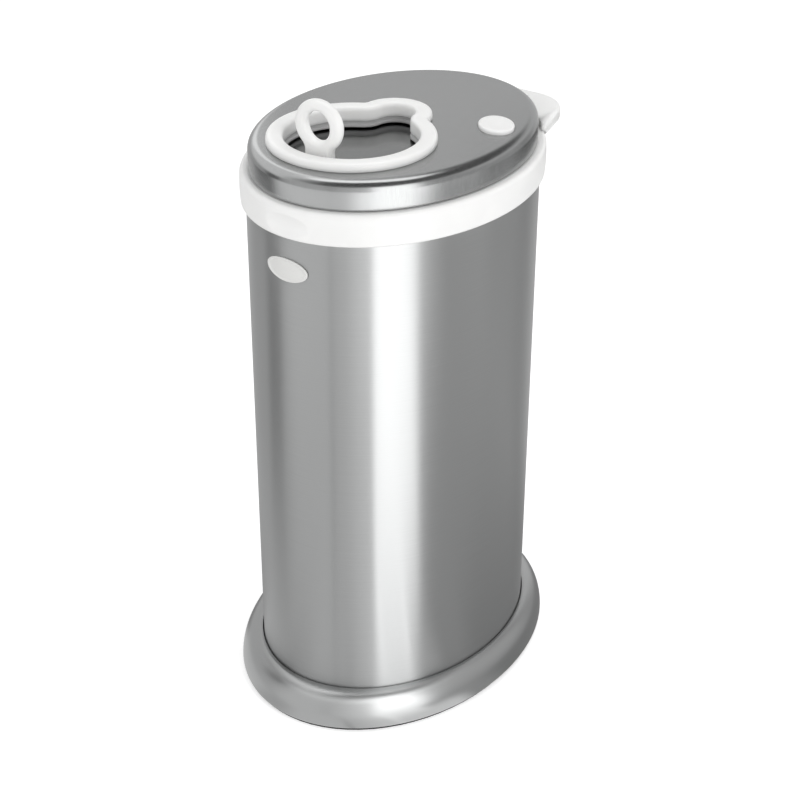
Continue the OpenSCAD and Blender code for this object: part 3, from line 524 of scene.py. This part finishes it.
def plate(loops, z):
    """A flat face at height z between an outer loop and the holes in it, as triangles."""
    points = np.concatenate(loops)
    edges, start = [], 0
    for loop in loops:
        n = len(loop)
        edges += [(start + i, start + (i + 1) % n) for i in range(n)]
        start += n
    made = delaunay_2d_cdt([Vector(p) for p in points.tolist()], edges, [], 1, 1e-6)
    flat = np.array([tuple(p) for p in made[0]])
    faces = np.array([f for f in made[2] if len(f) == 3])
    middle = flat[faces].mean(1)
    keep = np.ones(len(faces), bool)
    for hole in loops[1:]:
        keep &= ~inside(middle, hole)
    return np.column_stack([flat, np.full(len(flat), z)]), faces[keep].tolist()


def strip(loop, low, high):
    """The wall of a hole, between two heights."""
    n = len(loop)
    points = np.concatenate([np.column_stack([loop, np.full(n, z)]) for z in (low, high)])
    return points, [[i, (i + 1) % n, n + (i + 1) % n, n + i] for i in range(n)]


def lid():
    """The lid's shell: up the skirt, round the edge and just on to the flat, then back one wall
    inside. Flat faces with the aperture and the button's hole close it above and below."""
    a = np.linspace(0, np.pi / 2, 17)
    arc = np.stack([np.cos(a), np.sin(a)], 1)
    middle = np.array([-LID_INSET - LID_ROUND, LID_TOP - LID_ROUND])
    edge, under = middle[0] - 0.5, LID_TOP - LID_WALL
    face, back = -LID_INSET, -LID_INSET - LID_WALL
    outer = np.concatenate([[[face, LID_BOTTOM], [face, LID_BOTTOM + 4], [face, middle[1] - 5]],
                            middle + LID_ROUND * arc, [[edge, LID_TOP]]])
    inner = np.concatenate([[[edge, under]], (middle + (LID_ROUND - LID_WALL) * arc)[::-1],
                            [[back, LID_BOTTOM + 4], [back, LID_BOTTOM]]])
    hole = RING[0] - (RING_BAND - RING_WALL - 0.2) * RING[1]
    button_hole = button_oval(0.5)
    outer_grid, inner_grid = carried(OVAL, outer), carried(OVAL, inner)
    over_arm = np.clip(NOTCH_HALF - np.abs(outer_grid[0, :, 0]) + 0.5, 0, 1)
    over_arm = over_arm * (outer_grid[0, :, 1] > 0)
    for rows in (outer_grid[:2], inner_grid[-2:]):
        rows[..., 2] += over_arm * (NOTCH_TOP - rows[..., 2]).clip(0)
    shell("lid_steel", [np.concatenate([inner_grid, outer_grid])], "lid", ["lid_shell"],
          LID_STEEL, close_rows=False,
          extra=[plate([outer_grid[-1, :, :2], hole, button_hole], LID_TOP),
                 plate([inner_grid[0, :, :2], hole, button_hole], under),
                 strip(hole, under, LID_TOP), strip(button_hole, under, LID_TOP)])


def aperture_ring():
    """The fat ring: a domed flange on the lid and a wall down through it, carried round the aperture.

    The dome is half an oval whose sine and cosine are taken to a power under 1, so that it is
    fuller at its shoulders.
    """
    fullness, half, foot_line = 0.5, RING_BAND / 2, LID_TOP + 0.3
    u = np.linspace(0, np.pi, 22)
    across = np.sign(np.cos(u)) * np.abs(np.cos(u)) ** fullness
    up = np.sin(u) ** fullness
    dome = np.stack([half * (across - 1), foot_line + (RING_PROUD - 0.3) * up], 1)
    wall = RING_BAND - RING_WALL
    section = np.concatenate([[[-0.5, LID_TOP]], dome,
                              [[-RING_BAND, LID_TOP - 2], [-RING_BAND, RING_BOTTOM + 0.3],
                               [-RING_BAND + 0.3, RING_BOTTOM], [-wall, RING_BOTTOM], [-wall, LID_TOP]]])
    shell("aperture_ring_white", [carried(RING, section)], "lid", ["aperture_ring"],
          WHITE, sharp=60)


def aperture_seal():
    """The soft seal: a thick wall with a thin lip along its lower edge, carried round the aperture."""
    wall = RING_BAND - RING_WALL
    corners = [[-wall, RING_BOTTOM], [-wall, SEAL_BOTTOM], [-RING_BAND, SEAL_BOTTOM],
               [-RING_BAND, SEAL_BOTTOM + 2.2], [-RING_BAND + 1.5, SEAL_BOTTOM + 2.8],
               [-RING_BAND + 1.5, RING_BOTTOM]]
    shell("aperture_seal_grey", [carried(RING, rounded(corners, [0.1, 0.3, 0.6, 0.5, 0.5, 0.1], 3))], "lid",
          ["aperture_seal"], GREY_RUBBER, sharp=60)


# Pull loop

def loop_outline(count):
    """The loop's outer edge on its plane, from the neck's right foot round the top to its left foot.

    The round part is an ellipse, and a straight neck leaves it through a hollow of one radius.
    """
    half, foot_z, fillet = NECK_HALF, DOOR_TOP - LOOP_Z, 12.0
    a = np.linspace(-0.5 * np.pi, 1.5 * np.pi, 2000)
    ellipse = np.stack([LOOP_HALF_WIDTH * np.cos(a), LOOP_HALF_HEIGHT * np.sin(a)], 1)
    normal = np.stack([LOOP_HALF_HEIGHT * np.cos(a), LOOP_HALF_WIDTH * np.sin(a)], 1)
    normal /= np.linalg.norm(normal, axis=1)[:, None]
    centres = ellipse + fillet * normal
    right = (a < 0)
    i = np.argmin(np.abs(centres[right][:, 0] - half - fillet) + (centres[right][:, 1] > 0) * 99)
    touch, centre = ellipse[i], centres[i]
    start = math.atan2(touch[1] - centre[1], touch[0] - centre[0]) % (2 * math.pi)
    bend = np.linspace(np.pi, start, 40)
    hollow = centre + fillet * np.stack([np.cos(bend), np.sin(bend)], 1)
    side = np.stack([np.full(30, half), np.linspace(foot_z, centre[1], 30)], 1)
    upper = ellipse[(a > a[i]) & (a < 0.5 * np.pi)]
    right_side = np.concatenate([side, hollow, upper, [[0, LOOP_HALF_HEIGHT]]])
    line = np.concatenate([right_side, right_side[-2::-1] * [-1, 1]])
    run = lengths(line, False)
    at = np.linspace(0, run[-1], count)
    return np.stack([np.interp(at, run, line[:, 0]), np.interp(at, run, line[:, 1])], 1)


def pull_loop():
    """A plate with every edge well rounded. Rays run from the hole's edge to the outer edge, and
    the half thickness along a ray is a quarter round near either end and level between."""
    count, base_count, edge_radius = 240, 40, 4.4
    base = np.stack([np.linspace(-NECK_HALF, NECK_HALF, base_count + 2)[1:-1],
                     np.full(base_count, DOOR_TOP - LOOP_Z)], 1)
    outer = np.concatenate([loop_outline(count), base])
    angle = np.arctan2(outer[:, 1], outer[:, 0])
    inner = np.stack([HOLE_HALF_WIDTH * np.cos(angle), HOLE_HALF_HEIGHT * np.sin(angle)], 1)
    reach = np.linalg.norm(outer - inner, axis=1)
    ease = edge_radius * (1 - np.cos(np.linspace(0, np.pi / 2, 9)))
    level = np.linspace(0, 1, 9)[1:-1]
    near = np.minimum(ease[None] / reach[:, None], 0.5 * ease[None] / edge_radius)
    between = near[:, -1:] + (1 - 2 * near[:, -1:]) * level[None]
    share = np.concatenate([near, between, 1 - near[:, ::-1]], 1)
    from_edge = np.minimum(share, 1 - share) * reach[:, None]
    turn = np.minimum(edge_radius, 0.5 * reach)[:, None]
    depth = np.clip(from_edge / turn, 0, 1)
    half = LOOP_THICK / 2 * (0.12 + 0.88 * np.sqrt(1 - (1 - depth) ** 2))
    half[from_edge < 1e-9] = 0
    plan = inner[:, None] + share[..., None] * (outer - inner)[:, None]
    front = np.stack([plan[..., 0], -half, plan[..., 1]], 2)
    back = np.stack([plan[..., 0], half, plan[..., 1]], 2)[:, -2:0:-1]
    grid = np.concatenate([front, back], 1) + [MIDDLE, LOOP_Y, LOOP_Z]
    shell("pull_loop_white", [grid.transpose(1, 0, 2)], "door", ["pull_loop"], WHITE,
          sharp=70)


def button():
    """The cap: an oval dome with a shallow dish, a rounded edge, and a wall down into the lid.

    Underneath, the wall's inner face rises to a flat, and the round stem stands down from that.
    """
    rim = button_oval(0) - BUTTON
    inner = button_oval(-CAP_WALL)
    stem = BUTTON + STEM_RADIUS * rim / np.linalg.norm(rim, axis=1)[:, None]
    s = np.array([1.0, 1.0, 1.0, 0.995, 0.975, 0.94, 0.88, 0.8, 0.68, 0.54, 0.4, 0.26, 0.12, 0.03])
    z = BUTTON_TOP - np.array([4.8, 3.0, 1.9, 1.3, 0.7, 0.3, 0.08, 0.0, 0.12, 0.34, 0.55, 0.7, 0.78, 0.8])
    plan = np.concatenate([[stem, stem, inner, inner], BUTTON + s[:, None, None] * rim])
    height = np.concatenate([[STEM_FOOT, BUTTON_TOP - 2.4, BUTTON_TOP - 2.4, z[0]], z])
    grid = np.concatenate([plan, np.broadcast_to(height[:, None, None], plan.shape[:2] + (1,))], 2)
    shell("lock_button_cap", [grid], "button", ["lock_button"], WHITE, close_rows=False,
          extra=[fan(grid[0]), fan(grid[-1])], sharp=50)


def lock_spring():
    """The return spring: a round wire carried up a helix round the button's stem.

    Its first and last half turns lie flat, and it rises evenly between them. It stands on the lid.
    """
    turns, wire, flat = 3.0, 0.45, 0.5
    turn = np.linspace(0, turns, 145)
    rise = np.clip((turn - flat) / (turns - 2 * flat), 0, 1)
    z = SPRING_FOOT + wire + (SPRING_TOP - SPRING_FOOT - 2 * wire) * rise
    a, round_wire = 2 * np.pi * turn[:, None], np.linspace(0, 2 * np.pi, 12, endpoint=False)
    reach = SPRING_RADIUS + wire * np.cos(round_wire)
    height = z[:, None] + wire * np.sin(round_wire)
    grid = np.stack([BUTTON[0] + reach * np.cos(a), BUTTON[1] + reach * np.sin(a), height], 2)
    piece = shell("lock_spring_coil", [grid], "lid", ["lock_spring"], SMALL_STEEL,
                  close_rows=False, extra=[fan(grid[0]), fan(grid[-1])])
    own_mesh(piece)


tube()
foot()
collar()
bag_rim()
badge()
lid()
aperture_ring()
aperture_seal()
pull_loop()
button()
lock_spring()

# CAD nodes whose facets are smoothed, and those that stay as they are
smoothed("hinge_housing_white", "hinge_housing", WHITE, 40)
smoothed("lid_liner_white", "lid_liner", WHITE, 40)
smoothed("base_floor_grey", "base_floor", FLOOR_PLASTIC)
smoothed("foot_ring_black", "foot_ring", BLACK_RUBBER)
smoothed("lid_seal_grey", "lid_seal", GREY_RUBBER)
for name, material in {"door_plate": DOOR_STEEL, "door_tray": WHITE, "rail_left": WHITE,
                       "rail_right": WHITE, "lock_catch": SMALL_STEEL, "lock_pawl": SMALL_STEEL,
                       "hinge_pin": SMALL_STEEL, "base_screws": SMALL_STEEL,
                       "housing_screws": SMALL_STEEL, "ring_screws": SMALL_STEEL, "rail_screws": SMALL_STEEL,
                       "loop_screws": SMALL_STEEL, "pawl_screw": SMALL_STEEL}.items():
    nodes[name].data.materials.clear()
    nodes[name].data.materials.append(material)


# Studio

def stage_mesh(name, points, faces, material):
    """A mesh that belongs to the studio."""
    mesh = bpy.data.meshes.new(name)
    mesh.from_pydata((np.asarray(points, float) * 0.001).tolist(), [], np.asarray(faces).tolist())
    mesh.materials.append(material)
    made = bpy.data.objects.new(name, mesh)
    bpy.context.scene.collection.objects.link(made)
    return made


def seen_rays(tree, others, seen):
    """A strength that is one value to the camera, in reflections and through glass, and another
    to every other ray."""
    path = tree.nodes.new("ShaderNodeLightPath")
    either = add_node(tree, "ShaderNodeMath", {"operation": "MAXIMUM"},
                      in0=path.outputs["Is Camera Ray"], in1=path.outputs["Is Glossy Ray"])
    any_of = add_node(tree, "ShaderNodeMath", {"operation": "MAXIMUM"}, in0=either.outputs[0],
                      in1=path.outputs["Is Transmission Ray"])
    level = add_node(tree, "ShaderNodeMapRange", {"To Min": others, "To Max": seen},
                     Value=any_of.outputs[0])
    return level.outputs["Result"]


def floor(size=9000, glow=0.4):
    """A pale paper floor that keeps the object's shadow, lifted to white where nothing shades it."""
    material, tree, out = new_material("matt paper, white")
    paper = add_node(tree, "ShaderNodeBsdfDiffuse", {"Color": linear("#f7f7f7")})
    lift = add_node(tree, "ShaderNodeEmission", Strength=seen_rays(tree, 0.0, glow))
    both = add_node(tree, "ShaderNodeAddShader", in0=paper.outputs[0], in1=lift.outputs[0])
    tree.links.new(both.outputs[0], out.inputs["Surface"])
    corners = [[-size, -size, 0], [size, -size, 0], [size, size, 0], [-size, size, 0]]
    stage_mesh("floor", corners, [[0, 1, 2, 3]], material)


# The light tent about the object. Each card lies over the cloth and over the cards before it:
# from angle, to angle (0 is the front, 90 the right), from height, to height (mm), soft edge in
# degrees, soft edge in mm, brightness. Below height 0 the cloth lies on the table, and the figure
# is the distance in from the tent's wall
CAMERA_ANGLE = 34.8
TENT_CLOTH = 0.58
TENT_CARDS = {
    "front cloth": (-30, 35, -400, 2000, 14, 100, 0.76),
    "right cloth, higher": (72, 150, 130, 2000, 10, 260, 0.55),
    "right cloth, low and on the table": (72, 200, -400, 60, 10, 160, 0.42),
    "spill beside the strip light": (24, 72, -400, 2000, 14, 100, 0.95),
    "strip light": (41, 70, -400, 2000, 2.5, 100, 2.6),
    "strip light's dim foot": (43, 68, -400, 60, 5, 180, 1.5),
    "glow on the table beside the foot": (36, 98, -400, -235, 16, 40, 1.0),
    "dark flag on the left": (-54, -36, 180, 2000, 5, 160, 0.14),
    "join in the cloth": (9, 12, -400, 2000, 1.5, 100, 0.5),
    "dark edge on the right": (142, 158, -400, 2000, 8, 100, 0.42),
    "back cloth": (165, 195, -50, 2000, 12, 100, 0.7),
    "table on the right, turned from the light": (134, 230, -400, -60, 24, 90, 0.29),
    "table on the left": (-130, -60, -400, -20, 16, 80, 0.74),
    "bright band at lid height": (-46, 34, 376, 440, 14, 20, 1.35),
    "side cloth at lid height": (76, 116, 376, 440, 8, 20, 0.78),
    "strip light's wide head": (28, 80, 376, 440, 12, 20, 2.6),
    "dark flag at lid height": (-80, -52, 376, 440, 10, 20, 0.2),
    "dim cloth at lid height": (115, 146, 376, 440, 12, 20, 0.4),
    "dark card at lid height": (146, 190, 376, 440, 8, 20, 0.16),
    "upper back cloth": (100, 235, 620, 2000, 20, 60, 0.74),
    "upper left light": (238, 262, 620, 2000, 10, 60, 1.6),
    "upper left cloth": (262, 328, 600, 2000, 12, 60, 1.1),
    "dark room over the camera": (-17, 190, 740, 2000, 30, 60, 0.14),
}


def over(value, low, high, soft):
    """How far a value lies between two limits, 0 to 1, with soft edges."""
    return np.clip((value - low) / soft + 0.5, 0, 1) * np.clip((high - value) / soft + 0.5, 0, 1)


def tent(inner=110.0, radius=430.0, top=1500.0):
    """A round light tent close about the object, seen only in its reflections. Sizes are in mm.

    Its brightness at each point starts as the cloth's, and each card takes it towards its own
    brightness by the share of the card that covers the point. The cloth runs on over the table
    to the object. There a card's angle from the camera shrinks towards half, as the angle of the
    steel that mirrors it does, so that its reflection stays upright.
    """
    angle = np.arange(-180, 180, 1.0)
    t = np.radians(angle)
    table = np.linspace(inner, radius, 12)
    wall = np.concatenate([np.linspace(6, 860, 42), np.linspace(900, top, 16)])
    off_the_floor = 0.6
    r = np.concatenate([table, np.full(len(wall), radius)])
    z = np.concatenate([np.full(len(table), off_the_floor), wall])
    high = np.broadcast_to(z[:, None], (len(z), len(t)))
    grid = np.stack([r[:, None] * np.sin(t), -r[:, None] * np.cos(t), high], 2)
    faces, _ = grid_faces(len(z), len(t), False, True)
    away = (angle - CAMERA_ANGLE + 180) % 360 - 180
    widen = 1 + (radius - r) / (radius - inner)
    seen = CAMERA_ANGLE + np.clip(away[None] * widen[:, None], -179.9, 179.9)
    height = np.where(r < radius, r - radius, z)
    value = np.full(seen.shape, TENT_CLOTH)
    for left, right, low, high, soft_angle, soft_height, level in TENT_CARDS.values():
        turn = (seen - (left + right) / 2 + 180) % 360 - 180
        share = over(turn, (left - right) / 2, (right - left) / 2, soft_angle)
        share = share * over(height, low, high, soft_height)[:, None]
        value = value + share * (level - value)
    material, tree, out = new_material("tent cloth")
    shade = add_node(tree, "ShaderNodeAttribute", {"attribute_name": "bright"})
    glow = add_node(tree, "ShaderNodeEmission", Strength=shade.outputs["Fac"])
    tree.links.new(glow.outputs[0], out.inputs["Surface"])
    made = stage_mesh("tent", grid.reshape(-1, 3), faces, material)
    made.data.attributes.new("bright", "FLOAT", "POINT").data.foreach_set(
        "value", value.astype(np.float32).ravel())
    only_reflected(made)


def only_reflected(made):
    """Hides a piece of the studio from every ray but reflections, and from the light sampler."""
    for material in made.data.materials:
        material.cycles.emission_sampling = "NONE"
    for key in ("camera", "diffuse", "transmission", "volume_scatter", "shadow"):
        setattr(made, "visible_" + key, False)


def overhead_card(name, near, far, height, level, half_width=450):
    """A level card over the lid, from near to far towards the camera, mirrored in its rounded edge."""
    material, tree, out = new_material(name)
    glow = add_node(tree, "ShaderNodeEmission", {"Strength": level})
    tree.links.new(glow.outputs[0], out.inputs["Surface"])
    a = math.radians(CAMERA_ANGLE)
    out_way, side = np.array([math.sin(a), -math.cos(a)]), np.array([math.cos(a), math.sin(a)])
    corners = [n * out_way + w * side for n, w in ((near, -half_width), (near, half_width),
                                                   (far, half_width), (far, -half_width))]
    only_reflected(stage_mesh(name, [(*c, height) for c in corners], [[0, 1, 2, 3]], material))


def lamp(name, angle, height, distance, size, power, aim=300.0):
    """A soft lamp at an angle from the front, lighting matt surfaces and left out of reflections."""
    light = bpy.data.lights.new(name, "AREA")
    light.shape, light.size, light.size_y = "RECTANGLE", size[0] * 0.001, size[1] * 0.001
    light.energy = power
    made = bpy.data.objects.new(name, light)
    bpy.context.scene.collection.objects.link(made)
    a = math.radians(angle)
    place = Vector((distance * math.sin(a), -distance * math.cos(a), height)) * 0.001
    made.location = place
    made.rotation_euler = (Vector((0, 0, aim * 0.001)) - place).to_track_quat("-Z", "Y").to_euler()
    made.visible_glossy = False
    made.visible_camera = False


def world():
    """White to the camera and in reflections, and a plain level of light for matt surfaces."""
    made = bpy.data.worlds.new("studio")
    bpy.context.scene.world = made
    made.use_nodes = True
    tree = made.node_tree
    tree.nodes.clear()
    out = tree.nodes.new("ShaderNodeOutputWorld")
    sky = add_node(tree, "ShaderNodeBackground", {"Color": (1, 1, 1, 1)},
                   Strength=seen_rays(tree, 0.66, 1.0))
    tree.links.new(sky.outputs[0], out.inputs["Surface"])


# The photograph's viewpoint, fitted from the bin's edges: angles in degrees, places in mm, and
# the focal length in the photograph's pixels
VIEW_AZIMUTH, VIEW_ELEVATION, VIEW_ROLL = 34.784, 29.961, 0.248
VIEW_TARGET, VIEW_DISTANCE = (17.02, -16.47, 280.0), 1629.1
FOCAL_PIXELS, PHOTO_PIXELS, SENSOR = 1751.53, 800, 36.0


def camera():
    """The photograph's viewpoint: back, right and up are the camera's own axes."""
    azimuth, elevation, roll = (math.radians(a) for a in (VIEW_AZIMUTH, VIEW_ELEVATION, VIEW_ROLL))
    back = Vector((math.sin(azimuth) * math.cos(elevation), -math.cos(azimuth) * math.cos(elevation),
                   math.sin(elevation)))
    right = Vector((math.cos(azimuth), math.sin(azimuth), 0))
    up = back.cross(right)
    right, up = right * math.cos(roll) + up * math.sin(roll), up * math.cos(roll) - right * math.sin(roll)
    data = bpy.data.cameras.new("camera")
    data.sensor_width, data.lens = SENSOR, SENSOR * FOCAL_PIXELS / PHOTO_PIXELS
    data.clip_start, data.clip_end = 0.05, 50
    made = bpy.data.objects.new("camera", data)
    bpy.context.scene.collection.objects.link(made)
    place = (Vector(VIEW_TARGET) + back * VIEW_DISTANCE) * 0.001
    turn = Matrix((right, up, back)).transposed().to_4x4()
    made.matrix_world = Matrix.Translation(place) @ turn
    bpy.context.scene.camera = made


floor()
tent()
overhead_card("black card overhead", near=190, far=460, height=1300, level=0.08)
overhead_card("light card overhead", near=-250, far=175, height=1400, level=2.2)
lamp("key lamp", angle=62, height=900, distance=1500, size=(500, 1400), power=9)
lamp("fill lamp", angle=-50, height=1100, distance=1800, size=(1200, 1200), power=8)
lamp("top lamp", angle=170, height=2000, distance=900, size=(1400, 1000), power=8)
world()
camera()

view = bpy.context.scene.view_settings
view.view_transform = "Standard"
